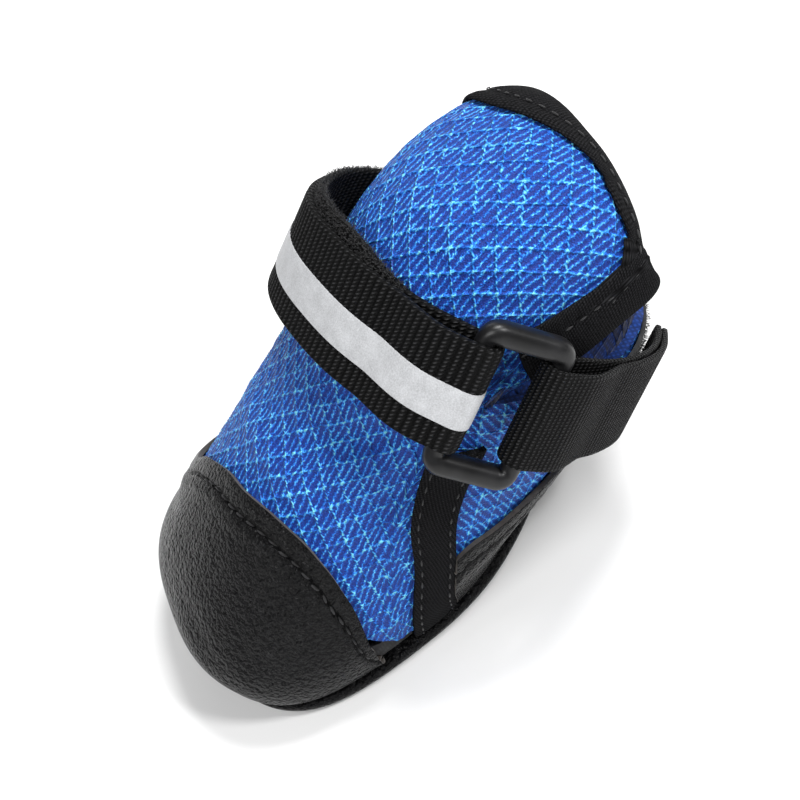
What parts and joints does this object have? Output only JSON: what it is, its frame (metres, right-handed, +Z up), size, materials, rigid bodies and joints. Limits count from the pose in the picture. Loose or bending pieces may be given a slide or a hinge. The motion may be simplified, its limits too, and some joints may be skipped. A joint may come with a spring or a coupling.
{
  "type": "dog boot",
  "caption": "Soft dog boot with a mesh upper, leather toe cap, heel counter and sole, a bound open flap, and a wrap strap through a ring.",
  "frame": {"origin": "on the ground, on the tread under the middle of the foot", "axes": "+X to the toe, +Y to the wearer's left, +Z up"},
  "size_m": [0.121, 0.0775, 0.0917],
  "materials": {
    "leather": "pebbled satin black polyurethane leather",
    "lining": "matte black woven lining",
    "mesh": "royal blue knitted spacer mesh",
    "loop_tape": "fuzzy black loop tape",
    "knit_tape": "matte black fine knit",
    "webbing": "ribbed black polyester webbing",
    "reflective": "silver grey reflective tape",
    "plastic": "satin moulded dark grey plastic"
  },
  "bodies": {
    "root": {"sole": "leather", "insole": "lining", "upper": "mesh", "toe_cap": "leather", "heel_counter": "leather", "loop_patch": "loop_tape", "side_band_left": "knit_tape", "side_band_right": "knit_tape", "collar_binding": "knit_tape", "ring": "plastic", "strap": "webbing", "ring_tab": "webbing"}
  },
  "joints": []
}
